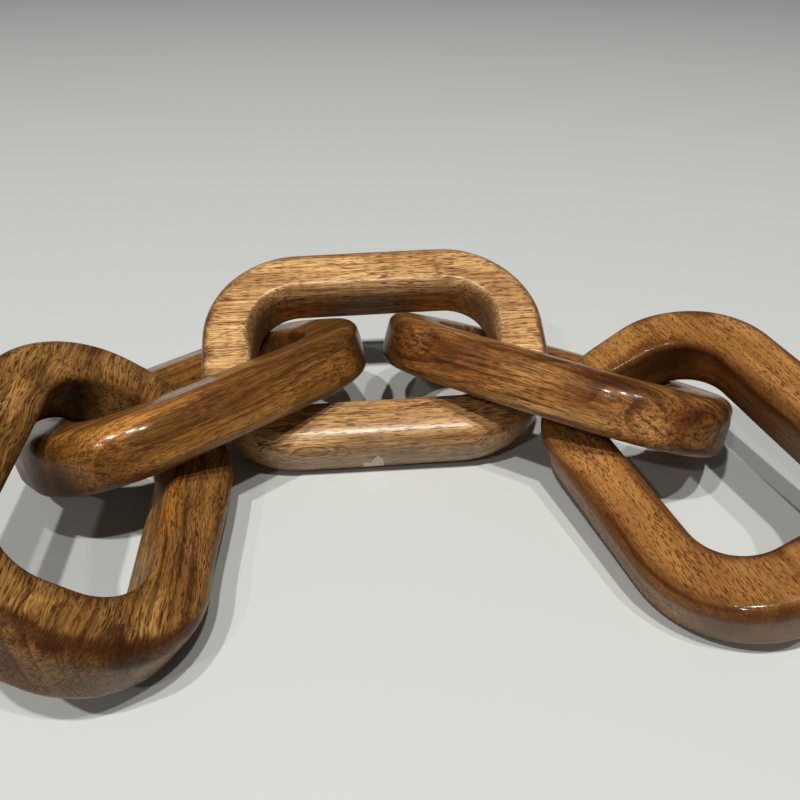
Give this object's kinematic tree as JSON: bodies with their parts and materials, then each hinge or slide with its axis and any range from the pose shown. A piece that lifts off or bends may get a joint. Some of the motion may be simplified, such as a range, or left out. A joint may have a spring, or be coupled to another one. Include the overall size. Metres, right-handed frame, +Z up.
{
  "type": "wooden chain",
  "caption": "Decorative carved chain of closed wooden links with rounded edges and a glossy lacquer, threaded through each other and lying in an arc.",
  "frame": {"origin": "on the surface the chain lies on, under the centre of the chain's bounding box", "axes": "+X along the chain to the viewer's right, +Y away from the viewer, +Z up"},
  "size_m": [0.3172, 0.2114, 0.0696],
  "materials": {
    "left_end_wood": "gloss lacquer",
    "left_joining_wood": "gloss lacquer",
    "middle_wood": "gloss lacquer",
    "right_joining_wood": "gloss lacquer",
    "right_end_wood": "gloss lacquer"
  },
  "bodies": {
    "root": {"left_end_link": "left_end_wood", "left_joining_link": "left_joining_wood", "middle_link": "middle_wood", "right_joining_link": "right_joining_wood", "right_end_link": "right_end_wood"}
  },
  "joints": []
}
